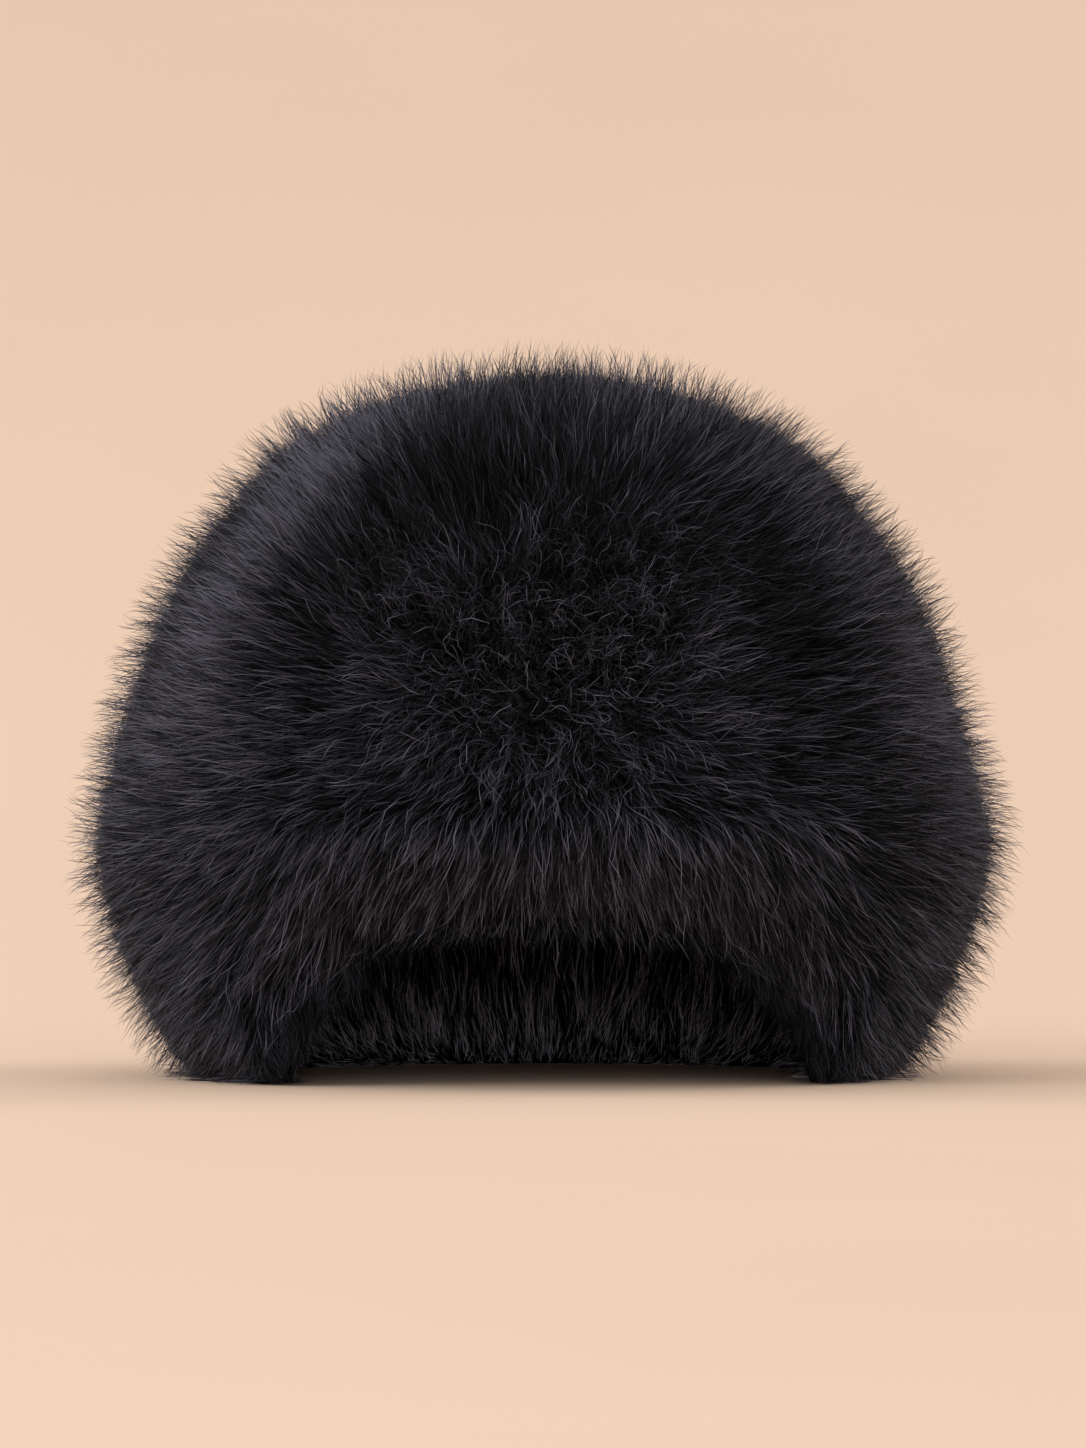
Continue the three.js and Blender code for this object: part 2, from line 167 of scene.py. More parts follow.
@dataclass(frozen=True)
class HatSizes:
    """The hat's driving sizes, the same as its solids'."""

    fur_width: float = 300 * MM
    fur_depth: float = 288 * MM
    fur_height: float = 236 * MM
    hollow_height: float = 205 * MM
    headline_height: float = 100 * MM
    head_width: float = 188 * MM
    head_depth: float = 194 * MM
    rim_width: float = 238 * MM
    rim_depth: float = 226 * MM
    facing_pile: float = 18 * MM
    arch_width: float = 184 * MM
    arch_height: float = 56 * MM
    arch_shift: float = 3 * MM
    arch_roundness: float = 2.8
    arch_fall: float = 0.55
    arch_ease: float = 1.2


def unit(vectors: Array) -> Array:
    """Scale each vector along an array's last axis to length one."""
    return vectors / np.maximum(np.linalg.norm(vectors, axis=-1, keepdims=True), TINY)


def smooth(low: float, high: float, values: Array) -> Array:
    """Ease from 0 at low to 1 at high, as a smooth step."""
    share = np.clip((values - low) / (high - low), 0.0, 1.0)
    return share * share * (3.0 - 2.0 * share)


def turned(ways: Array, normals: Array, turn: Array) -> Array:
    """Turn directions along a surface about its normals, by angles in radians."""
    return ways * np.cos(turn)[..., None] + np.cross(normals, ways) * np.sin(turn)[..., None]


@contextmanager
def edit_mode(thing: bpy.types.Object) -> Iterator[None]:
    """Pick one object and hold it in edit mode."""
    pick(thing)
    bpy.ops.object.mode_set(mode="EDIT")
    yield
    bpy.ops.object.mode_set(mode="OBJECT")


def pick(thing: bpy.types.Object, also: tuple[bpy.types.Object, ...] = ()) -> None:
    """Make an object the active one and select it, with none but the others named."""
    bpy.ops.object.select_all(action="DESELECT")
    for one in (thing, *also):
        one.select_set(True)
    bpy.context.view_layer.objects.active = thing


@dataclass(frozen=True)
class Ripple:
    """A smooth random field in space, made of a few seeded waves."""

    seed: int
    wavelength: float
    waves: int = 14
    paces: Range = (0.6, 1.5)

    def at(self, points: Array) -> Array:
        """Read the field.

        Args:
            points: Points along the last axis, in metres.

        Returns:
            One value a point, of about unit spread.
        """
        rng = np.random.default_rng(self.seed)
        ways = unit(rng.normal(size=(self.waves, 3)))
        pace = math.tau / self.wavelength * rng.uniform(*self.paces, self.waves)
        phase = rng.uniform(0.0, math.tau, self.waves)
        turns = points @ (ways * pace[:, None]).T + phase
        return np.sin(turns).sum(axis=-1) * math.sqrt(2.0 / self.waves)


@dataclass
class HatForm:
    """One surface of the hat, held as its distance from the crown's middle in every direction.

    Seen from the middle of the headline each surface shows every point once, so a direction is enough to place a
    hair's root, follow the surface and read its normal.
    """

    sizes: HatSizes
    layer: Layer
    turns: int = 240
    tilts: int = 360
    profile_steps: int = 500
    last_tilt: float = 160.0
    below_rim: Range = (2 * MM, 200 * MM)
    below_steps: int = 80
    centre: Array = field(init=False)

    def __post_init__(self) -> None:
        """Tabulate distance, normal and section number by direction."""
        self.centre = UP * self.sizes.headline_height
        self.aspect = self.sizes.fur_depth / self.sizes.fur_width
        steps = np.linspace(0.0, FLOOR, self.profile_steps)
        wide, deep, high = self._profile(steps)
        azimuths = np.linspace(0.0, math.tau, self.turns, endpoint=False)
        self.tilt_end = math.radians(self.last_tilt)
        tilts = np.linspace(0.0, self.tilt_end, self.tilts)
        reach = np.empty((self.tilts, self.turns))
        section = np.empty((self.tilts, self.turns))
        hang = np.linspace(*self.below_rim, self.below_steps)
        numbers = np.concatenate([steps, FLOOR + hang / MM])
        for j, azimuth in enumerate(azimuths):
            points = self._place(wide, deep, high, np.full_like(wide, azimuth))
            below = points[-1] - np.outer(hang, UP)
            path = np.vstack([points, below]) - self.centre
            tilt = np.arctan2(np.hypot(path[:, 0], path[:, 1]), path[:, 2])
            tilt = np.maximum.accumulate(tilt + np.arange(len(tilt)) * CREEP)
            reach[:, j] = np.interp(tilts, tilt, np.linalg.norm(path, axis=1))
            section[:, j] = np.interp(tilts, tilt, numbers)
        self.reach = np.hstack([reach, reach[:, :1]])
        self.section = np.hstack([section, section[:, :1]])
        ring = np.append(azimuths, math.tau)
        ways = self._ways(tilts[:, None], ring[None, :])
        points = ways * self.reach[..., None]
        along = np.gradient(points, axis=0)
        padded = np.concatenate([points[:, -2:-1], points, points[:, 1:2]], axis=1)
        round_ = padded[:, 2:] - padded[:, :-2]
        normal = np.cross(along, round_)
        normal[0] = UP
        self.normal = unit(normal)
        self.area = np.linalg.norm(np.cross(along, round_ / 2.0), axis=-1)

    def _profile(self, at: Array) -> tuple[Array, Array, Array]:
        """Half width, half depth and height of this layer at section numbers, on a smooth curve through the rows."""
        size = self.sizes
        rows = []
        for row in SECTIONS:
            up = row.fur_up if self.layer is Layer.FUR else row.back_up
            top = size.fur_height if self.layer is Layer.FUR else size.hollow_height
            high = size.headline_height * (1.0 + min(up, 0.0)) + max(up, 0.0) * (top - size.headline_height)
            if self.layer is Layer.FUR:
                rows.append((row.fur_out * size.fur_width / 2, row.fur_out * size.fur_depth / 2, high))
                continue
            inset = row.face_in * size.facing_pile if self.layer is Layer.FACING else 0.0
            wide = row.back_out * size.head_width + row.flare * (size.rim_width - size.head_width)
            deep = row.back_out * size.head_depth + row.flare * (size.rim_depth - size.head_depth)
            rows.append((wide / 2 - inset, deep / 2 - inset, high))
        table = np.array(rows)
        table = np.vstack([2 * table[:1] - table[1:2], table, 2 * table[-1:] - table[-2:-1]])
        i = np.minimum(at.astype(int), len(SECTIONS) - 2)
        t = (at - i)[:, None]
        a, b, c, d = table[i], table[i + 1], table[i + 2], table[i + 3]
        curve = 0.5 * (2 * b + (c - a) * t + (2 * a - 5 * b + 4 * c - d) * t**2 + (3 * b - a - 3 * c + d) * t**3)
        return curve[:, 0], curve[:, 1], curve[:, 2]

    def _place(self, wide: Array, deep: Array, high: Array, azimuth: Array) -> Array:
        """Points of the layer at half widths, half depths and heights, with the arch and the swells in place."""
        size = self.sizes
        swell = np.ones_like(wide)
        if self.layer is Layer.FUR:
            swell += self.swells(azimuth, high)[0]
        low = np.maximum(0.0, 1.0 - high / size.headline_height)
        lift = self.arch_lift(azimuth)
        return np.stack(
            [wide * swell * np.sin(azimuth), -deep * swell * np.cos(azimuth), high + lift * low**size.arch_ease],
            axis=-1,
        )

    def swells(self, azimuth: Array, high: Array) -> tuple[Array, Array]:
        """How far the swells push the fur out at azimuths and heights, and how much painted highlight or painted
        shade they put on its hair.
        """
        size = self.sizes
        up = (high - size.headline_height) / (size.fur_height - size.headline_height)
        push = light = np.zeros(np.broadcast(azimuth, high).shape)
        for one in SWELLS:
            turn = np.angle(np.exp(1j * (azimuth - math.radians(one.azimuth))))
            across = turn / math.radians(one.span)
            share = np.exp(-(across**2) - ((up - one.up) / one.reach) ** 2)
            push = push + one.rise * share
            light = light + one.light * share
        return push, light

    def azimuth_of(self, points: Array) -> Array:
        """The azimuths of points, 0 at the front and growing towards +X."""
        return np.arctan2(points[..., 0], -points[..., 1] / self.aspect)

    def arch_lift(self, azimuth: Array) -> Array:
        """How far the arch lifts the rim at an azimuth, which is 0 at the front."""
        size = self.sizes
        reach = SECTIONS[-1].fur_out * size.fur_width / 2
        share = np.abs(np.sin(azimuth) - size.arch_shift / reach) * reach / (size.arch_width / 2)
        inside = (np.cos(azimuth) > 0) & (share < 1)
        rise = size.arch_height * (1.0 - np.minimum(share, 1.0) ** size.arch_roundness) ** size.arch_fall
        return np.where(inside, rise, 0.0)

    def _ways(self, tilt: Array, azimuth: Array) -> Array:
        """Unit directions at a tilt from straight up and an azimuth."""
        tilt, azimuth = np.broadcast_arrays(tilt, azimuth)
        flat = unit(np.stack([np.sin(azimuth), -self.aspect * np.cos(azimuth)], axis=-1))
        return np.concatenate([flat * np.sin(tilt)[..., None], np.cos(tilt)[..., None]], axis=-1)

    def _read(self, table: Array, points: Array) -> Array:
        """Read a table between its entries, at the directions to points."""
        way = points - self.centre
        tilt = np.arctan2(np.hypot(way[..., 0], way[..., 1]), way[..., 2])
        row = np.minimum(tilt / self.tilt_end, 1.0 - CREEP) * (self.tilts - 1)
        column = self.azimuth_of(way) % math.tau / math.tau * self.turns
        i, j = row.astype(int), np.minimum(column.astype(int), self.turns - 1)
        u, v = row - i, column - j
        if table.ndim == 3:
            u, v = u[..., None], v[..., None]
        near = table[i, j] * (1 - v) + table[i, j + 1] * v
        far = table[i + 1, j] * (1 - v) + table[i + 1, j + 1] * v
        return near * (1 - u) + far * u

    def on_surface(self, points: Array) -> tuple[Array, Array]:
        """Bring points onto the surface along the lines from the crown's middle.

        Args:
            points: Points near the surface.

        Returns:
            The points on the surface and the outward normals there.
        """
        way = unit(points - self.centre)
        return self.centre + way * self._read(self.reach, points)[..., None], unit(self._read(self.normal, points))

    def section_at(self, points: Array) -> Array:
        """Section numbers at points, above FLOOR where they hang below the rim."""
        return self._read(self.section, points)

    def scatter(self, count: int, start: float, end: float, rng: np.random.Generator) -> Array:
        """Scatter points evenly over the surface between two section numbers.

        Args:
            count: How many points.
            start: The first section number.
            end: The last section number.
            rng: The seeded source of chance.

        Returns:
            The points, on the surface.
        """
        weight = np.where((self.section[:, :-1] >= start) & (self.section[:, :-1] < end), self.area[:, :-1], 0.0)
        cell = rng.choice(weight.size, size=count, p=(weight / weight.sum()).ravel())
        i, j = np.divmod(cell, self.turns)
        tilt = (i + rng.uniform(-0.5, 0.5, count)) / (self.tilts - 1) * self.tilt_end
        azimuth = (j + rng.uniform(-0.5, 0.5, count)) / self.turns * math.tau
        return self.on_surface(self.centre + self._ways(np.abs(tilt), azimuth))[0]

    def at_section(self, section: Array, azimuth: Array) -> Array:
        """Points of the surface at section numbers and azimuths."""
        wide, deep, high = self._profile(section)
        return self._place(wide, deep, high, azimuth)


class ShaderBoard:
    """A new material's node tree, with short ways to add, set and link its nodes."""

    def __init__(self, name: str) -> None:
        """Start a material with a Principled shader on its output."""
        self.material = bpy.data.materials.new(name)
        self.material.use_nodes = True
        self.tree = self.material.node_tree
        self.tree.nodes.clear()
        self.shader = self.add("ShaderNodeBsdfPrincipled")
        self.add("ShaderNodeOutputMaterial", surface=self.shader.outputs["BSDF"])

    def add(self, kind: str, **settings: object) -> bpy.types.Node:
        """Add a node and set its properties, or its sockets where a name is a socket's."""
        node = self.tree.nodes.new(kind)
        for name, value in settings.items():
            if hasattr(node, name):
                setattr(node, name, value)
            else:
                self.feed(node.inputs[name.replace("_", " ").title()], value)
        return node

    def feed(self, target: Socket, value: object) -> None:
        """Link another socket to an input socket, or set it to a value."""
        if isinstance(value, Socket):
            self.tree.links.new(value, target)
        else:
            target.default_value = value

    def dress(self, looks: dict[str, object]) -> bpy.types.Material:
        """Feed the shader's own sockets, by their names, and hand over the material."""
        for name, value in looks.items():
            self.feed(self.shader.inputs[name], value)
        return self.material

    def maths(self, operation: str, first: object, second: object) -> Socket:
        """A Math node of two sockets or numbers, as its output socket."""
        node = self.add("ShaderNodeMath", operation=operation)
        self.feed(node.inputs[0], first)
        self.feed(node.inputs[1], second)
        return node.outputs[0]

    def bump(self, height: Socket, strength: float, distance: float) -> Socket:
        """A bump from a height, as its normal socket."""
        node = self.add("ShaderNodeBump", strength=strength, distance=distance)
        self.feed(node.inputs["Height"], height)
        return node.outputs[0]

    def product(self, first: Socket, second: Socket) -> Socket:
        """Two colours multiplied, as the colour socket."""
        node = self.add("ShaderNodeMix", data_type="RGBA", blend_type="MULTIPLY")
        self.feed(node.inputs["Factor"], 1.0)
        colours = [socket for socket in node.inputs if socket.type == "RGBA"]
        self.feed(colours[0], first)
        self.feed(colours[1], second)
        return next(socket for socket in node.outputs if socket.type == "RGBA")

    def ramp(self, factor: Socket, stops: dict[float, Colour]) -> Socket:
        """A colour ramp over a socket.

        Args:
            factor: What runs along the ramp.
            stops: Linear colours by their place on the ramp.

        Returns:
            The colour socket.
        """
        node = self.add("ShaderNodeValToRGB")
        bands = node.color_ramp.elements
        while len(bands) < len(stops):
            bands.new(0.5)
        for band, (place, colour) in zip(bands, stops.items()):
            band.position = place
            band.color = (*colour, 1.0)
        self.feed(node.inputs[0], factor)
        return node.outputs[0]


HAIR_MAP = "OFBake"
TINTS = 64  # columns of lightness in the hairs' map
KNIT_MAP = "knit"
KNIT_RIBS = 95.0  # a radian
KNIT_ROWS = 22.0  # a section
ROLL_SEED = 500  # sets the hairs' rolls apart from their other draws


@dataclass(frozen=True)
class HairFinish:
    """The long hairs' finish: near black with a cool sheen, darker at the roots and different hair by hair, in random
    tone and in painted light and shade.
    """

    name: str
    root: Colour
    middle: Colour
    tip: Colour
    middle_at: float = 0.45
    roughness: float = 0.4
    roughness_spread: float = 0.12
    specular: float = 0.09
    specular_tint: Colour = (0.80, 0.84, 1.0)
    anisotropic: float = 0.6
    anisotropic_turn: float = 0.25
    sheen: float = 0.1
    sheen_roughness: float = 0.3
    lightness: dict[float, float] = field(
        default_factory=lambda: {0.0: 0.02, 0.35: 0.13, 0.65: 0.95, 0.86: 4.4, 1.0: 14.0}
    )

    def make(self) -> bpy.types.Material:
        """Build the material, which reads only the strands' own map: across is lightness, random tone with painted
        light and shade, up is root to tip.
        """
        board = ShaderBoard(self.name)
        along = board.add("ShaderNodeUVMap", uv_map=HAIR_MAP)
        split = board.add("ShaderNodeSeparateXYZ", vector=along.outputs[0])
        rank, height = split.outputs[0], split.outputs[1]
        colour = board.ramp(height, {0.0: self.root, self.middle_at: self.middle, 1.0: self.tip})
        tint = board.ramp(rank, {at: (light,) * 3 for at, light in self.lightness.items()})
        smoother = board.maths("MULTIPLY", rank, -self.roughness_spread)
        return board.dress({
            "Base Color": board.product(colour, tint),
            "Roughness": board.maths("ADD", smoother, self.roughness + self.roughness_spread / 2),
            "Tangent": board.add("ShaderNodeTangent", direction_type="UV_MAP", uv_map=HAIR_MAP).outputs[0],
            "Anisotropic": self.anisotropic,
            "Anisotropic Rotation": self.anisotropic_turn,
            "Specular IOR Level": self.specular,
            "Specular Tint": (*self.specular_tint, 1.0),
            "Sheen Weight": self.sheen,
            "Sheen Roughness": self.sheen_roughness,
        })


@dataclass(frozen=True)
class UnderfurFinish:
    """The short dense underfur that the long hairs stand in: matt, random in tone and darkest in its hollows, where
    painted shade lies.
    """

    name: str = "underfur"
    # deep is painted shade in the hollows of the bump, high the tops of the grain.
    deep: Colour = (0.0006, 0.0006, 0.0007)
    high: Colour = (0.0035, 0.0034, 0.0042)
    deep_until: float = 0.12
    high_from: float = 0.42
    grain: float = 420.0
    clumps: float = 60.0
    grain_detail: float = 4.0
    roughness: float = 0.75
    roughness_spread: float = 0.2
    specular: float = 0.06
    bump: float = 0.9
    bump_depth: float = 2 * MM

    def make(self) -> bpy.types.Material:
        """Build the material from two grains of noise on the piece's own coordinates."""
        board = ShaderBoard(self.name)
        place = board.add("ShaderNodeTexCoord").outputs["Object"]
        grain = board.add("ShaderNodeTexNoise", scale=self.grain, detail=self.grain_detail, vector=place).outputs[0]
        clump = board.add("ShaderNodeTexNoise", scale=self.clumps, detail=2.0, vector=place).outputs[0]
        both = board.maths("MULTIPLY", grain, clump)
        return board.dress({
            "Base Color": board.ramp(both, {self.deep_until: self.deep, self.high_from: self.high}),
            "Roughness": board.maths("ADD", board.maths("MULTIPLY", grain, self.roughness_spread), self.roughness),
            "Normal": board.bump(both, self.bump, self.bump_depth),
            "Specular IOR Level": self.specular,
        })


@dataclass(frozen=True)
class KnitFinish:
    """The plain black knit that backs the fur and shows inside the crown."""

    name: str = "knit_backing"
    # The valley colour is painted shade between the knit's ridges, which follow the same height as the bump.
    valley_shade: Colour = (0.0035, 0.0034, 0.0038)
    ridge: Colour = (0.014, 0.0135, 0.0145)
    valley_until: float = 0.1
    ridge_from: float = 0.8
    rows_to_a_rib: float = 1.4
    rib_wobble: float = 0.6
    row_wobble: float = 1.2
    rib_share: float = 0.35
    roughness: float = 0.95
    roughness_spread: float = 0.2
    sheen: float = 0.15
    bump: float = 0.6
    bump_depth: float = 0.6 * MM

    def make(self) -> bpy.types.Material:
        """Build the material: fine ribs up the wall with rows of loops across them, with painted shade in their
        valleys.
        """
        board = ShaderBoard(self.name)
        uv = board.add("ShaderNodeUVMap", uv_map=KNIT_MAP).outputs[0]
        ribs, rows = (
            board.add(
                "ShaderNodeTexWave", wave_type="BANDS", bands_direction=way, scale=scale, distortion=wobble, vector=uv
            ).outputs["Fac"]
            for way, scale, wobble in (("X", 1.0, self.rib_wobble), ("Y", self.rows_to_a_rib, self.row_wobble))
        )
        height = board.maths("MULTIPLY", ribs, board.maths("ADD", rows, self.rib_share))
        hollow = board.maths("MULTIPLY", height, self.roughness_spread)
        return board.dress({
            "Base Color": board.ramp(height, {self.valley_until: self.valley_shade, self.ridge_from: self.ridge}),
            "Roughness": board.maths("SUBTRACT", self.roughness, hollow),
            "Normal": board.bump(height, self.bump, self.bump_depth),
            "Sheen Weight": self.sheen,
        })


@dataclass
class Comb:
    """The way that the outer fur lies: away from a whorl on the front, and down round the back.

    In the tousled zone over the whorl the hairs stand up and cross in every direction, and over the arch they fall.
    """

    form: HatForm
    whorl_height: float = 136 * MM
    whorl_side: float = -5 * MM
    hangs_from: float = -0.1
    hangs_wholly: float = 0.5
    tousled_half_width: float = 62 * MM
    tousled_half_height: float = 36 * MM
    tousled_half_depth: float = 124 * MM
    tousled_rise: float = 12 * MM
    tousled_until: float = 0.2
    combed_from: float = 1.45
    tousled_edge: Ripple = Ripple(13, 60 * MM)
    edge_ripple: float = 0.2
    falls_from: float = 145 * MM
    falls_wholly: float = 75 * MM
    fall: float = 0.52
    fall_half_width: float = 130 * MM
    fall_fades_from: float = 0.5
    drift: Ripple = Ripple(11, 90 * MM)
    drift_turn: float = 0.14
    wander: Ripple = Ripple(12, 16 * MM)
    wander_turn: float = 0.12
    tousled_turn: float = 0.5

    def __post_init__(self) -> None:
        """Place the whorl."""
        size = self.form.sizes
        self.whorl = np.array([self.whorl_side, -size.fur_depth / 2, self.whorl_height])
        self.way = unit(self.whorl - self.form.centre)

    def calm(self, points: Array) -> Array:
        """How combed the fur is at points: 0 in the tousled zone's middle, 1 beyond it."""
        offset = points - self.whorl
        wide = offset[..., 0] / self.tousled_half_width
        high = (offset[..., 2] - self.tousled_rise) / self.tousled_half_height
        deep = offset[..., 1] / self.tousled_half_depth
        across = np.sqrt(wide**2 + high**2 + deep**2) + self.edge_ripple * self.tousled_edge.at(points)
        return smooth(self.tousled_until, self.combed_from, across)

    def lay(self, points: Array, normals: Array) -> Array:
        """The unit direction along the surface that the fur lies in.

        Args:
            points: Points on the surface.
            normals: The normals there.

        Returns:
            One direction a point.
        """
        out = unit(points - self.form.centre)
        away = unit(out * (out @ self.way)[..., None] - self.way)
        behind = smooth(self.hangs_from, self.hangs_wholly, points[..., 1] / self.form.sizes.fur_depth)[..., None]
        near = 1.0 - smooth(self.fall_fades_from, 1.0, np.abs(points[..., 0]) / self.fall_half_width)
        low = smooth(-self.falls_from, -self.falls_wholly, -points[..., 2])
        behind = np.maximum(behind, (self.fall * near * low)[..., None])
        lay = away * (1 - behind) - UP * behind
        lay = unit(lay - normals * np.sum(lay * normals, axis=-1, keepdims=True))
        wild = self.wander_turn + self.tousled_turn * (1 - self.calm(points))
        return turned(lay, normals, self.drift_turn * self.drift.at(points) + wild * self.wander.at(points))


@dataclass
class HangingComb:
    """The way that the facing's hair lies: straight down, with a little drift."""

    form: HatForm
    drift: Ripple = Ripple(21, 26 * MM)
    drift_turn: float = 0.16

    def calm(self, points: Array) -> Array:
        """Combed everywhere."""
        return np.ones(points.shape[:-1])

    def lay(self, points: Array, normals: Array) -> Array:
        """The unit direction along the surface that the hair lies in, at points with these normals."""
        down = unit(normals * normals[..., 2:3] - UP)
        return turned(down, normals, self.drift_turn * self.drift.at(points))


@dataclass
class RimComb(HangingComb):
    """The way that the rim's fringe lies: over the edge, whichever way the edge runs, and down."""

    drift: Ripple = Ripple(25, 14 * MM)
    drift_turn: float = 0.3
    edge_step: float = 0.02
    fall: float = 0.9

    def lay(self, points: Array, normals: Array) -> Array:
        """The unit direction along the surface and over the rim, at points with these normals."""
        azimuth = self.form.azimuth_of(points)
        rim = np.full_like(azimuth, FLOOR)
        ends = [self.form.at_section(rim, azimuth + step) for step in (self.edge_step, -self.edge_step)]
        over = unit(np.cross(ends[0] - ends[1], normals))
        over = over * np.where(over[..., 2:3] > 0, -1.0, 1.0)
        over = unit(over + self.fall * unit(normals * normals[..., 2:3] - UP))
        return turned(over, normals, self.drift_turn * self.drift.at(points))


@dataclass(frozen=True)
class Variety:
    """How single hairs differ from their coat's sizes and from each other.

    Each Range is drawn from evenly, as a share of the size that it is named for. The tousled values hold in the
    whorl's middle. clump_light is random tone that a hair's clump adds to its lightness; the painted shade takes
    lightness from hairs sunk deep in the coat, and the painted light adds it to stray hairs that stand out of it.
    """

    length: Range = (0.7, 1.25)
    depth: Range = (0.8, 1.1)
    hang: Range = (0.3, 1.35)
    width: Range = (0.55, 1.4)
    pull: Range = (0.2, 1.0)
    stray_pull: float = 0.1
    stray_climb: Range = (0.15, 1.0)
    usual_rise: float = 0.6
    sinking: float = 1.5
    clump_power: float = 1.1
    lock_power: float = 1.6
    tousled_length: float = 0.4
    tousled_pull: float = 0.3
    tousled_turn: float = 1.3
    clump_light: float = 0.5
    sunk_painted_shade: float = 0.6
    stray_painted_light: float = 0.25
    floor_gap: float = 0.3 * MM
    floor_spread: float = 1.3 * MM
    guide_length: Range = (0.85, 1.1)
    guide_rise: Range = (-0.5, 2.0)
    guide_turn: float = 0.7
    guides_before: float = 0.4
    guides_after: float = 0.3
    fewest_guides: int = 8
    waves: Range = (0.4, 0.9)
    wave_size: Range = (0.2, 1.8)
    wave_lift: float = 0.7
    wave_offset: float = 1.7
    tousled_waves: float = 0.4
    tousled_curl: float = 3.0
    roll: float = 0.6


@dataclass
class Batch:
    """Hairs about to be walked: each one's root, run, depth, rise over the outline, turn off the comb and hang."""

    roots: Array
    length: Array
    depth: Array
    rise: Array
    turn: Array
    hang: Array


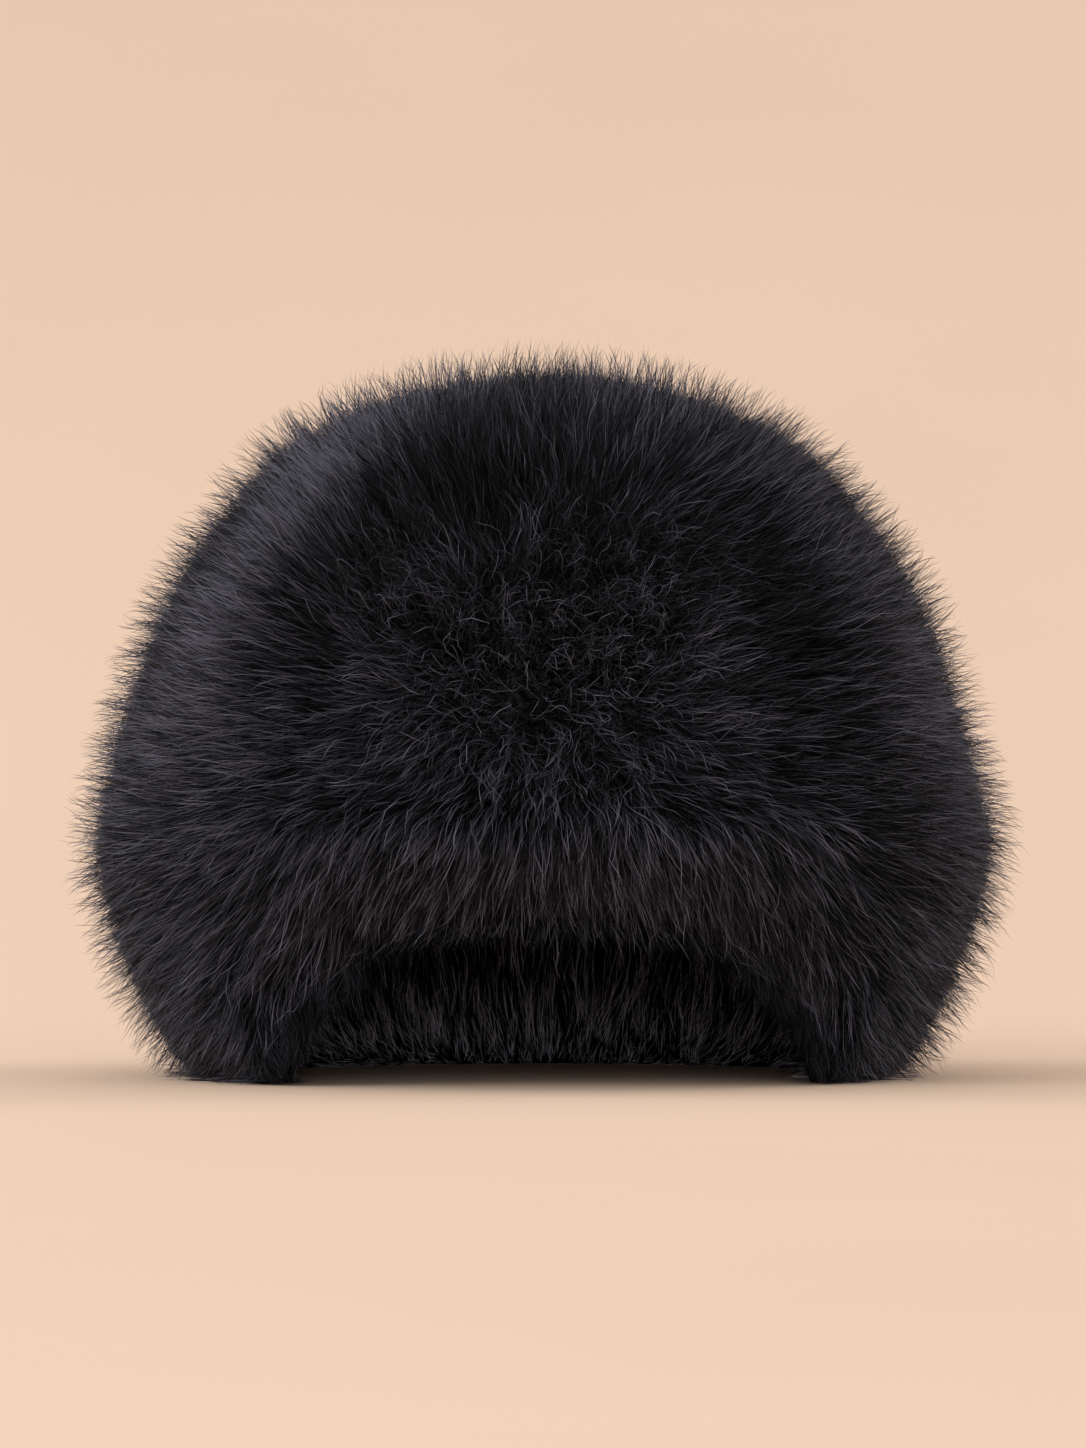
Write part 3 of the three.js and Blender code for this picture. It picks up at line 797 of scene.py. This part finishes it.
@dataclass
class Coat:
    """The long hairs of a stretch of one panel, as fine tapered strands joined into one mesh.

    A hair starts depth below the fur's outline and climbs to its rise above it while it runs length along the comb,
    so a short length stands steep and a long one lies flat. A share of stray hairs climbs further than the others.
    Hairs gather in clumps, the clumps in locks, and none hangs more than hang below the rim. Its rank, which its
    random tone and its painted light and shade add up to, is its column in the hairs' map.
    """

    name: str
    start: float
    end: float
    strands: int
    seed: int
    form: HatForm
    comb: Comb | HangingComb
    slot: str = "black_fur"
    inward: bool = False
    bends: int = 2
    length: float = 14 * MM
    depth: float = 13 * MM
    rise: float = 0.6 * MM
    layering: float = 5.5 * MM
    stray: float = 0.12
    stray_rise: float = 6 * MM
    stray_evenness: float = 1.4
    width: float = 0.32 * MM
    clump_spacing: float = 3.8 * MM
    clump_pull: float = 0.6
    lock_spacing: float = 14 * MM
    lock_pull: float = 0.2
    curl: float = 0.6 * MM
    stray_turn: float = 0.26
    hang: float = 11 * MM
    reach: Reach = Reach.ALL_ROUND
    ranks: Range = (0.0, 1.0)
    usual_light: float = 0.56
    light_spread: float = 0.22
    # Painted shade, or painted light where above 0, in the whorl's tousled middle.
    tousled_light: float = -0.3
    # Painted light and shade that change steadily across the panel, by the metre along X, Y and Z.
    painted_light_slope: Place = (0.0, 0.0, 0.0)
    varied: Variety = Variety()
    walks: int = 2
    lift_power: float = 1.25
    shortest: float = 0.25
    arch_gap: float = 0.5 * MM
    whorl_until: float = 0.9
    feet_until: float = 0.8
    taper: float = 0.55
    strip_margin: Range = (0.12, 0.01)

    def paths(self, batch: Batch) -> tuple[Array, Array]:
        """Walk hairs over the form along the comb.

        Args:
            batch: The hairs, with their roots on the surface.

        Returns:
            Points by hair and by bend, and the surface normals at them.
        """
        face = -1.0 if self.inward else 1.0
        step = (batch.length / self.bends / self.walks)[:, None]
        point, normal = self.form.on_surface(batch.roots)
        places, normals = [], []
        for share in np.linspace(0.0, 1.0, self.bends + 1):
            climb = (batch.depth + batch.rise) * (1.0 - (1.0 - share) ** self.lift_power) - batch.depth
            places.append(point + face * normal * climb[:, None])
            normals.append(face * normal)
            for _ in range(self.walks):
                way = turned(self.comb.lay(point, normal), normal, batch.turn)
                point, normal = self.form.on_surface(point + way * step)
        return np.stack(places, axis=1), np.stack(normals, axis=1)

    def _kept_short(self, batch: Batch) -> tuple[Array, Array]:
        """Walk hairs, and once more with those shortened that would hang too far below the rim."""
        tip = self.paths(batch)[0][:, -1]
        lift = self.form.arch_lift(self.form.azimuth_of(tip))
        over = self.form.section_at(tip) - FLOOR - np.minimum(batch.hang, lift + self.arch_gap) / MM
        short = np.clip(1.0 - over * MM / batch.length, self.shortest, 1.0)
        return self.paths(replace(batch, length=batch.length * np.where(over > 0, short, 1.0)))

    def _guides(self, spacing: float, rng: np.random.Generator) -> Array:
        """The paths of the clumps' middles, one every spacing."""
        varied = self.varied
        start, end = self.start - varied.guides_before, min(self.end + varied.guides_after, FLOOR)
        near = (self.form.section >= start) & (self.form.section < end)
        count = max(varied.fewest_guides, int(self.form.area[near].sum() / spacing**2))
        roots = self.form.scatter(count, start, end, rng)
        length = self.length * rng.uniform(*varied.guide_length, count)
        rise = self.rise * rng.uniform(*varied.guide_rise, count)
        turn = rng.normal(0.0, self.stray_turn * varied.guide_turn, count)
        depth, hang = np.full(count, self.depth), np.full(count, self.hang)
        return self._kept_short(Batch(roots, length, depth, rise, turn, hang))[0]

    def _gather(self, own: Array, guides: Array, pull: Array, power: float) -> tuple[Array, Array]:
        """Draw hairs towards the nearest guide, more towards their tips, and tell which guide each one took."""
        tree = KDTree(len(guides))
        for i, path in enumerate(guides):
            tree.insert(Vector(path[0]), i)
        tree.balance()
        nearest = np.array([tree.find(Vector(root))[1] for root in own[:, 0]])
        share = np.linspace(0.0, 1.0, self.bends + 1) ** power
        weight = (pull[:, None] * share[None, :])[..., None]
        return own * (1 - weight) + guides[nearest] * weight, nearest

    def _wave(self, points: Array, normals: Array, calm: Array, rng: np.random.Generator) -> Array:
        """Give each hair its own soft wave, and a curl in the whorl."""
        count, varied, wild = len(points), self.varied, (1 - calm)[:, None]
        share = np.linspace(0.0, 1.0, self.bends + 1)[None, :]
        side = unit(np.cross(normals[:, 0], unit(points[:, -1] - points[:, 0])))
        phase = rng.uniform(0, math.tau, (count, 1))
        turns = rng.uniform(*varied.waves, (count, 1)) + varied.tousled_waves * wild
        size = self.curl * rng.uniform(*varied.wave_size, (count, 1)) * (1.0 + varied.tousled_curl * wild) * share
        across = size * np.sin(phase + math.tau * turns * share)
        out = varied.wave_lift * size * np.cos(phase * varied.wave_offset + math.tau * turns * share)
        return points + side[:, None] * across[..., None] + normals * out[..., None]

    def _covers(self, points: Array) -> Array:
        """Which points lie in this coat's reach."""
        if self.reach is Reach.FRONT:
            return points[:, 1] < 0
        if self.reach is Reach.BACK:
            return points[:, 1] >= 0
        if self.reach is Reach.WHORL:
            return self.comb.calm(points) < self.whorl_until
        if self.reach is Reach.ARCH_FEET:
            lift = self.form.arch_lift(self.form.azimuth_of(points))
            return (lift > 0.0) & (lift < self.form.sizes.arch_height * self.feet_until)
        return np.ones(len(points), dtype=bool)

    def _roots(self, rng: np.random.Generator) -> Array:
        """Scatter the hairs' roots over this coat's stretch of the panel."""
        roots = np.empty((0, 3))
        while len(roots) < self.strands:
            more = self.form.scatter(self.strands, self.start, self.end, rng)
            roots = np.vstack([roots, more[self._covers(more)]])
        return roots[: self.strands]

    def hairs(self) -> tuple[Array, Array, Array, Array]:
        """Every hair's points, normals, width at its root and lightness rank from 0 to 1."""
        rng, varied = np.random.default_rng(self.seed), self.varied
        roots = self._roots(rng)
        count = len(roots)
        calm = self.comb.calm(roots)
        wild = rng.uniform(size=count) < self.stray
        tall = rng.uniform(*varied.stray_climb, count) ** self.stray_evenness
        length = self.length * rng.uniform(*varied.length, count)
        length = length * (varied.tousled_length + (1 - varied.tousled_length) * calm)
        sunk = rng.uniform(0.0, 1.0, count) ** varied.sinking
        rise = self.rise * rng.normal(varied.usual_rise, 1.0, count) - self.layering * sunk
        rise = np.where(wild, self.rise + self.stray_rise * tall, rise)
        turn = rng.normal(0.0, self.stray_turn, count) + (1 - calm) * rng.normal(0.0, varied.tousled_turn, count)
        hang = self.hang * rng.uniform(*varied.hang, count)
        depth = self.depth * rng.uniform(*varied.depth, count)
        points, normals = self._kept_short(Batch(roots, length, depth, rise, turn, hang))
        pull = np.where(wild, varied.stray_pull, rng.uniform(*varied.pull, count))
        pull = pull * (varied.tousled_pull + (1 - varied.tousled_pull) * calm)
        clumps = self._guides(self.clump_spacing, rng)
        points, clump = self._gather(points, clumps, self.clump_pull * pull, varied.clump_power)
        locks = self._guides(self.lock_spacing, rng)
        points, _ = self._gather(points, locks, self.lock_pull * pull, varied.lock_power)
        points = self._wave(points, normals, calm, rng)
        lowest = varied.floor_gap + rng.exponential(varied.floor_spread, count)
        points[..., 2] = np.maximum(points[..., 2], lowest[:, None])
        clump_light = rng.uniform(size=clump.max() + 1)[clump]
        light = rng.uniform(size=count) + varied.clump_light * clump_light * calm
        # Painted shade on hairs sunk deep in the coat and painted light on stray hairs that stand out of it.
        light = light - varied.sunk_painted_shade * sunk + varied.stray_painted_light * wild
        # The swells' bands of painted highlight and painted shade.
        light = light + self.form.swells(self.form.azimuth_of(roots), roots[:, 2])[1]
        # Painted shade or painted light in the whorl's tousled middle, and painted light and shade that slope across
        # the panel.
        light = light + self.tousled_light * (1 - calm) + roots @ np.array(self.painted_light_slope)
        rank = 1.0 / (1.0 + np.exp((self.usual_light - light) / self.light_spread))
        rank = self.ranks[0] + (self.ranks[1] - self.ranks[0]) * rank
        return points, normals, self.width * rng.uniform(*varied.width, count), rank

    def _strips(self, points: Array, normals: Array, width: Array, rank: Array) -> bpy.types.Mesh:
        """Make each hair a strip that narrows to a point, its face outwards but rolled a little by chance."""
        rng = np.random.default_rng(self.seed + ROLL_SEED)
        count, rings = points.shape[0], points.shape[1]
        along = unit(np.gradient(points, axis=1))
        side = unit(np.cross(normals, along))
        up = np.cross(along, side)
        roll = rng.normal(0.0, self.varied.roll, count)[:, None, None]
        across = side * np.cos(roll) + up * np.sin(roll)
        share = np.linspace(0.0, 1.0, rings)
        half = (width[:, None] / 2) * (1.0 - self.taper * share[None, :] ** 2)
        left, right = points - across * half[..., None], points + across * half[..., None]
        body = np.stack([left[:, :-1], right[:, :-1]], axis=2).reshape(count, -1, 3)
        verts = np.concatenate([body, points[:, -1:]], axis=1)
        each = verts.shape[1]
        quads = [(2 * k, 2 * k + 2, 2 * k + 3, 2 * k + 1) for k in range(rings - 2)]
        last = (each - 3, each - 1, each - 2)
        pattern = [corner for quad in quads for corner in quad] + list(last)
        base = (np.arange(count) * each)[:, None]
        corners = (base + np.array(pattern)[None, :]).ravel()
        sizes = np.tile([4] * len(quads) + [3], count)
        mesh = bpy.data.meshes.new(self.name)
        mesh.vertices.add(count * each)
        mesh.vertices.foreach_set("co", verts.astype(np.float32).ravel())
        mesh.loops.add(len(corners))
        mesh.loops.foreach_set("vertex_index", corners.astype(np.int32))
        mesh.polygons.add(len(sizes))
        mesh.polygons.foreach_set("loop_start", np.concatenate([[0], np.cumsum(sizes)[:-1]]).astype(np.int32))
        mesh.update(calc_edges=True)
        mesh.polygons.foreach_set("use_smooth", np.ones(len(sizes), dtype=bool))
        column = np.floor(rank * TINTS)
        beside, under = self.strip_margin
        u = np.append(np.tile([beside, 1.0 - beside], rings - 1), 0.5)
        v = under + (1.0 - 2 * under) * np.append(np.repeat(share[:-1], 2), 1.0)
        per_hair_u = (column[:, None] + u[None, :]) / TINTS
        uv = np.stack([per_hair_u, np.broadcast_to(v, (count, each))], axis=-1).reshape(-1, 2)
        layer = mesh.uv_layers.new(name=HAIR_MAP)
        layer.data.foreach_set("uv", uv[corners].astype(np.float32).ravel())
        mesh.validate()
        return mesh

    def build(self, material: bpy.types.Material) -> bpy.types.Object:
        """Grow the coat and dress it.

        Args:
            material: The hairs' finish.

        Returns:
            The coat.
        """
        coat = bpy.data.objects.new(self.name, self._strips(*self.hairs()))
        bpy.context.scene.collection.objects.link(coat)
        coat.data.materials.append(material)
        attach(coat, "root")
        return coat


@dataclass
class Pile:
    """A panel's closed shell: dense underfur outside and its other face inside, joined along its seams."""

    panel: Panel
    outer: HatForm
    inner: HatForm
    start: float
    end: float
    outer_inset: float
    slot: str = "black_fur"
    furry_inside: bool = False
    lip: float = 6 * MM
    lip_eases: float = 20 * MM
    columns: int = 96
    rings: int = 48
    ball_share: float = 0.92
    grain: Ripple = Ripple(31, 9 * MM)
    grain_rise: float = 0.8 * MM
    lumps: Ripple = Ripple(32, 28 * MM)
    lumps_rise: float = 1.0 * MM
    rough_from: float = 2 * MM
    edge_eases: float = 0.5
    seam_points: int = 720
    seam_reach: float = 4 * MM

    def _shell_side(self, name: str, form: HatForm, inset: float) -> bpy.types.Object:
        """One side of the shell: a sphere cut to the panel's sections, with every point moved onto the form."""
        bpy.ops.object.select_all(action="DESELECT")
        bpy.ops.mesh.primitive_uv_sphere_add(segments=self.columns, ring_count=self.rings, radius=1.0)
        side = bpy.context.active_object
        side.name = name
        cut = math.pi * self.ball_share / FLOOR
        with edit_mode(side):
            for section, upper in ((self.start, False), (self.end, True)):
                if section > 0.0:
                    level = (0.0, 0.0, math.cos(section * cut))
                    bpy.ops.mesh.select_all(action="SELECT")
                    bpy.ops.mesh.bisect(plane_co=level, plane_no=tuple(UP), clear_inner=upper, clear_outer=not upper)
        count = len(side.data.vertices)
        ball = np.empty(count * 3)
        side.data.vertices.foreach_get("co", ball)
        ball = unit(ball.reshape(-1, 3))
        section = np.clip(np.arccos(np.clip(ball[:, 2], -1, 1)) / cut, 0.0, FLOOR)
        azimuth = np.arctan2(ball[:, 0], -ball[:, 1])
        place = form.at_section(section, azimuth)
        rough = self.grain_rise * self.grain.at(place) + self.lumps_rise * self.lumps.at(place)
        rough = rough * (inset > self.rough_from)
        to_edge = np.minimum(section - self.start if self.start > 0 else FLOOR, self.end - section)
        rough = rough * smooth(0.0, self.edge_eases, to_edge)
        moved = place + form.on_surface(place)[1] * (-inset + rough)[:, None]
        lift = form.arch_lift(azimuth) * smooth(FLOOR - 1.0, FLOOR, section)
        moved[:, 2] = np.maximum(moved[:, 2], 0.0) + self.lip * smooth(0.0, self.lip_eases, lift)
        side.data.vertices.foreach_set("co", moved.astype(np.float32).ravel())
        knit = side.data.uv_layers.new(name=KNIT_MAP)
        corners = np.empty(len(side.data.loops), dtype=np.int32)
        side.data.loops.foreach_get("vertex_index", corners)
        run = np.stack([azimuth * KNIT_RIBS, section * KNIT_ROWS], axis=-1)
        knit.data.foreach_set("uv", run[corners].astype(np.float32).ravel())
        return side

    def build(self, materials: list[bpy.types.Material]) -> bpy.types.Object:
        """Model the shell and dress it.

        Args:
            materials: The underfur and the knit backing.

        Returns:
            The shell.
        """
        name = self.panel.value + "_pile"
        outer = self._shell_side(name, self.outer, self.outer_inset)
        inner = self._shell_side(name + "_inside", self.inner, 0.0)
        for side, furry in ((outer, not self.furry_inside), (inner, self.furry_inside)):
            for material in materials:
                side.data.materials.append(material)
            index = np.full(len(side.data.polygons), 0 if furry else 1, dtype=np.int32)
            side.data.polygons.foreach_set("material_index", index)
        with edit_mode(inner):
            bpy.ops.mesh.select_all(action="SELECT")
            bpy.ops.mesh.flip_normals()
        pick(outer, (inner,))
        bpy.ops.object.join()
        for section in (self.start, self.end):
            if section > 0.0:
                self._close(outer, section)
        pick(outer)
        bpy.ops.object.shade_smooth()
        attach(outer, "root")
        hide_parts(self.panel.value)
        return outer

    def _close(self, shell: bpy.types.Object, section: float) -> None:
        """Bridge the two sides' open edges along one seam."""
        mesh = shell.data
        azimuths = np.linspace(0, math.tau, self.seam_points, endpoint=False)
        at = np.full_like(azimuths, section)
        rings = []
        for form, inset in ((self.outer, self.outer_inset), (self.inner, 0.0)):
            place = form.at_section(at, azimuths)
            place = place - form.on_surface(place)[1] * inset
            if section > FLOOR - 1.0:
                place[:, 2] += self.lip * smooth(0.0, self.lip_eases, form.arch_lift(azimuths))
            rings.append(place)
        tree = KDTree(len(azimuths) * 2)
        for i, point in enumerate(np.vstack(rings)):
            tree.insert(Vector(point), i)
        tree.balance()
        before = len(mesh.polygons)
        uses = np.zeros(len(mesh.edges), dtype=int)
        for polygon in mesh.polygons:
            for key in polygon.loop_indices:
                uses[mesh.loops[key].edge_index] += 1
        for part in (mesh.polygons, mesh.edges, mesh.vertices):
            part.foreach_set("select", np.zeros(len(part), dtype=bool))
        for edge in mesh.edges:
            ends = [mesh.vertices[i].co for i in edge.vertices]
            if uses[edge.index] == 1 and all(tree.find(end)[2] < self.seam_reach for end in ends):
                edge.select = True
                for i in edge.vertices:
                    mesh.vertices[i].select = True
        with edit_mode(shell):
            bpy.ops.mesh.select_mode(type="EDGE")
            bpy.ops.mesh.bridge_edge_loops()
        for polygon in mesh.polygons[before:]:
            polygon.material_index = 0


@dataclass(frozen=True)
class Lamp:
    """A square soft light: where it stands, how wide it is, its power and what it faces."""

    name: str
    place: Place
    size: float
    power: float
    aim: Place = (0.0, 0.0, 0.12)
    colour: Colour = (0.97, 0.98, 1.0)

    def build(self) -> None:
        """Add the light to the scene."""
        lamp = bpy.data.lights.new(self.name, "AREA")
        lamp.size = self.size
        lamp.energy = self.power
        lamp.color = self.colour
        light = bpy.data.objects.new(self.name, lamp)
        light.location = self.place
        light.rotation_euler = (Vector(self.aim) - Vector(self.place)).to_track_quat("-Z", "Y").to_euler()
        bpy.context.scene.collection.objects.link(light)


LAMPS: tuple[Lamp, ...] = (
    Lamp("key", (-1.9, -1.6, 1.5), 1.5, 22.0),
    Lamp("left_edge", (-2.2, 0.4, 1.2), 1.3, 21.0),
    Lamp("right_edge", (2.2, 0.8, 1.2), 1.3, 18.0),
    Lamp("fill", (1.9, -1.6, 1.2), 1.6, 1.5),
    Lamp("front", (0.2, -2.8, 0.8), 1.2, 8.5),
    Lamp("backdrop", (0.0, 2.4, 2.6), 2.0, 7.0, aim=(0.0, 2.4, 0.4)),
)


@dataclass
class Studio:
    """The pale seamless backdrop, the soft lights and the camera in front of the hat."""

    paper: Colour = (0.755, 0.575, 0.447)
    mottle: float = 0.015
    mottle_scale: float = 2.5
    paper_roughness: float = 0.9
    paper_specular: float = 0.1
    floor_half: float = 2.0
    floor_behind: float = 0.2
    sweep_radius: float = 4.0
    sweep_steps: int = 32
    wall_height: float = 4.0
    air: Colour = (1.0, 0.94, 0.88)
    air_strength: float = 0.74
    distance: float = 2.6
    camera_height: float = 0.105
    aim_height: float = 0.1175
    view_height: float = 0.483
    sensor: float = 24.0
    sees_to: float = 30.0

    def _paper(self) -> bpy.types.Material:
        """Warm pale paper with a faint mottle."""
        board = ShaderBoard("studio_paper")
        place = board.add("ShaderNodeTexCoord").outputs["Object"]
        mottle = board.add("ShaderNodeTexNoise", scale=self.mottle_scale, detail=3.0, vector=place).outputs[0]
        low, high = (tuple(c * share for c in self.paper) for share in (1.0 - self.mottle, 1.0 + self.mottle))
        return board.dress({
            "Base Color": board.ramp(mottle, {0.3: low, 0.7: high}),
            "Roughness": self.paper_roughness,
            "Specular IOR Level": self.paper_specular,
        })

    def _sweep(self) -> None:
        """Lay the paper on the floor and curve its far edge up into a wall."""
        bpy.ops.object.select_all(action="DESELECT")
        bpy.ops.mesh.primitive_plane_add(size=2 * self.floor_half)
        sweep = bpy.context.active_object
        sweep.name = "studio_sweep"
        sweep.data.materials.append(self._paper())
        with edit_mode(sweep):
            bpy.ops.mesh.select_all(action="DESELECT")
        for edge in sweep.data.edges:
            edge.select = all(sweep.data.vertices[i].co.y > 0 for i in edge.vertices)
        for vertex in sweep.data.vertices:
            vertex.co.y += self.floor_behind - self.floor_half
        angles = np.linspace(0.0, math.pi / 2, self.sweep_steps + 1)
        path = self.sweep_radius * np.stack([0.0 * angles, np.sin(angles), 1.0 - np.cos(angles)], axis=-1)
        moves = [*np.diff(path, axis=0), UP * self.wall_height]
        with edit_mode(sweep):
            bpy.ops.mesh.select_mode(type="EDGE")
            for move in moves:
                bpy.ops.mesh.extrude_region_move(TRANSFORM_OT_translate={"value": tuple(move)})
        bpy.ops.object.shade_smooth()

    def _camera(self) -> None:
        """Place the camera at the photo's low angle, upright frame."""
        lens = bpy.data.cameras.new("camera")
        lens.sensor_fit = "VERTICAL"
        lens.sensor_height = self.sensor
        lens.lens = self.sensor * self.distance / self.view_height
        lens.clip_end = self.sees_to
        camera = bpy.data.objects.new("camera", lens)
        camera.location = (0.0, -self.distance, self.camera_height)
        aim = Vector((0.0, 0.0, self.aim_height)) - camera.location
        camera.rotation_euler = aim.to_track_quat("-Z", "Y").to_euler()
        bpy.context.scene.collection.objects.link(camera)
        bpy.context.scene.camera = camera

    def build(self) -> None:
        """Set up the sweep, the lights, the air's own light and the camera."""
        self._sweep()
        for lamp in LAMPS:
            lamp.build()
        world = bpy.data.worlds.new("studio_air")
        world.use_nodes = True
        air = world.node_tree.nodes["Background"].inputs
        air["Color"].default_value = (*self.air, 1.0)
        air["Strength"].default_value = self.air_strength
        bpy.context.scene.world = world
        bpy.context.scene.view_settings.view_transform = "Standard"
        self._camera()


@dataclass
class FurHat:
    """The whole hat: four panels, each with its shell and its coats of hairs."""

    sizes: HatSizes = field(default_factory=HatSizes)
    underfur_depth: float = 11 * MM
    facing_depth: float = 1 * MM
    seam_gap: float = 0.01
    rim_gap: float = 0.02
    black: HairFinish = HairFinish(
        "black_hair", (0.0006, 0.0006, 0.0008), (0.0049, 0.0049, 0.0065), (0.0172, 0.0172, 0.0227)
    )
    # The facing's hair is a lighter copy of the black hair, painted light for the light that reaches in under the
    # brim.
    facing_painted_light: HairFinish = HairFinish("facing_hair_painted_light", (0.004, 0.004, 0.005), (0.036, 0.035, 0.042), (0.11, 0.107, 0.128))

    def _piles(self, fur: HatForm, backing: HatForm, facing: HatForm) -> list[Pile]:
        """The panels' shells, each with a small gap at its seams."""
        gap, deep = self.seam_gap, self.underfur_depth
        rim = FLOOR - self.rim_gap
        return [
            Pile(Panel.TIP, fur, backing, 0.0, TIP_SEAM - gap, deep),
            Pile(Panel.SIDE, fur, backing, TIP_SEAM + gap, HEADLINE - gap, deep),
            Pile(Panel.BRIM, fur, backing, HEADLINE + gap, rim, deep),
            Pile(Panel.FACING, backing, facing, HEADLINE + gap, rim, self.facing_depth, "facing_fur", True),
        ]

    def _coats(self, fur: HatForm, backing: HatForm, facing: HatForm) -> list[Coat]:
        """The coats of hairs, which differ in where they grow, how densely and how long."""
        outer = partial(Coat, form=fur, comb=Comb(fur))
        fine = partial(outer, width=0.21 * MM, rise=2 * MM, clump_pull=0.35, lock_pull=0.0, curl=1 * MM)
        guard = partial(
            fine, bends=4, length=15 * MM, depth=9 * MM, layering=4 * MM, stray=0.5, stray_rise=10.5 * MM,
            stray_evenness=0.9, clump_spacing=5 * MM, hang=13 * MM, ranks=(0.3, 1.0),
        )
        return [
            outer("crown_tip_fur", 0.0, TIP_SEAM, 36000, 101),
            outer("crown_side_fur_front", TIP_SEAM, HEADLINE, 38000, 102, reach=Reach.FRONT),
            outer("crown_side_fur_back", TIP_SEAM, HEADLINE, 25000, 103, reach=Reach.BACK),
            outer("brim_fur_front", HEADLINE, FLOOR, 38000, 104, reach=Reach.FRONT),
            outer("brim_fur_back", HEADLINE, FLOOR, 25000, 105, reach=Reach.BACK),
            guard("crown_guard_hairs", 0.0, HEADLINE, 25000, 109),
            guard("brim_guard_hairs", HEADLINE, FLOOR, 17000, 110),
            # The wisps take the lighter ranks and are painted lighter in the whorl's middle: painted highlights on
            # its curls.
            fine(
                "whorl_wisps", TIP_SEAM - 1.0, HEADLINE + 1.5, 6500, 107, reach=Reach.WHORL, bends=5,
                length=16 * MM, depth=6 * MM, layering=5 * MM, stray=0.2, stray_rise=5 * MM, clump_pull=0.3,
                ranks=(0.45, 1.0), tousled_light=0.25,
            ),
            outer(
                "arch_feet_fur", FLOOR - 1.1, FLOOR, 7000, 111, comb=RimComb(fur, fall=0.6), reach=Reach.ARCH_FEET,
                length=17 * MM, depth=10 * MM, rise=0.0, layering=5 * MM, hang=40 * MM, ranks=(0.0, 0.85),
            ),
            # The fringe is held to the darker ranks, painted shade for the dark gap behind the brim's hanging tips.
            Coat(
                "brim_rim_fringe", FLOOR - 0.7, FLOOR, 8000, 108, backing, RimComb(backing), length=12 * MM,
                depth=0.0, rise=2 * MM, layering=7 * MM, stray=0.3, hang=40 * MM, ranks=(0.0, 0.5),
            ),
            # The facing's hair is painted lighter overall and painted darker higher up and towards the front: painted
            # light and painted shade inside the brim.
            Coat(
                "brim_facing_fur", HEADLINE, FLOOR, 24000, 106, facing, HangingComb(facing), "facing_fur",
                inward=True, length=15 * MM, depth=2 * MM, rise=7 * MM, layering=4 * MM, stray=0.15,
                stray_rise=4 * MM, clump_spacing=5 * MM, stray_turn=0.16, hang=3 * MM, usual_light=0.35,
                painted_light_slope=(0.0, 8.0, -18.0),
            ),
        ]

    def build(self) -> list[bpy.types.Object]:
        """Build every panel.

        Returns:
            The pieces, in order.
        """
        forms = [HatForm(self.sizes, layer) for layer in (Layer.FUR, Layer.BACKING, Layer.FACING)]
        skins = [UnderfurFinish().make(), KnitFinish().make()]
        hair = {"black_fur": self.black.make(), "facing_fur": self.facing_painted_light.make()}
        piles = [pile.build(skins) for pile in self._piles(*forms)]
        return piles + [coat.build(hair[coat.slot]) for coat in self._coats(*forms)]


def main() -> None:
    """Build the hat and the studio round it, and log each piece's triangles."""
    logging.basicConfig(level=logging.INFO, stream=sys.stdout, format="%(name)s %(message)s")
    bpy.ops.object.select_all(action="DESELECT")
    for piece in FurHat().build():
        triangles = len(piece.data.loops) - 2 * len(piece.data.polygons)
        LOG.info("%s: %d triangles", piece.name, triangles)
    Studio().build()


if __name__ == "__main__":
    main()
